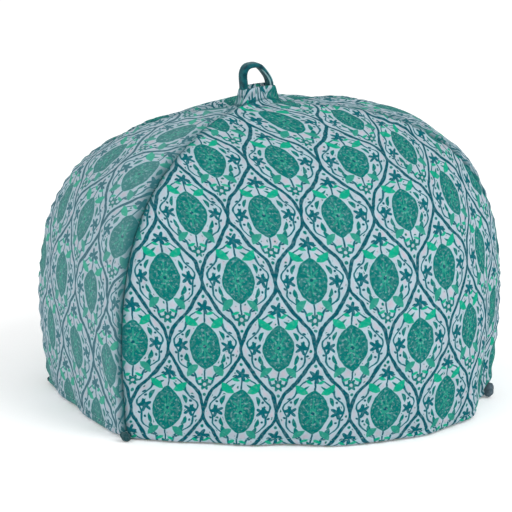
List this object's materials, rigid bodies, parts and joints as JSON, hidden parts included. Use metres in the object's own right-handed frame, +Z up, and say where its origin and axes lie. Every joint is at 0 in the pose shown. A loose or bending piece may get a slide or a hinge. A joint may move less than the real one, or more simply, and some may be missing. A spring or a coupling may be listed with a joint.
{
  "type": "tea cosy",
  "caption": "Padded cloth dome with a wide front and back, narrow sides drawn to the top, an open hem and a small hanging loop; it covers a teapot to keep it warm.",
  "frame": {"origin": "on the surface that the hem rests on, under the middle of the cosy's box", "axes": "+Z up, out of the crown to the hanging loop; -Y out of the front panel; +X to the right seen from the front"},
  "size_m": [0.3058, 0.3156, 0.2375],
  "materials": {
    "printed_cotton": "matt block-printed cotton, teal and emerald on a pale ground, over wadding",
    "loop_cotton": "dark teal cotton strip, folded and stitched"
  },
  "bodies": {
    "root": {"front_panel": "printed_cotton", "back_panel": "printed_cotton", "left_side": "printed_cotton", "right_side": "printed_cotton", "hanging_loop": "loop_cotton"}
  },
  "joints": []
}
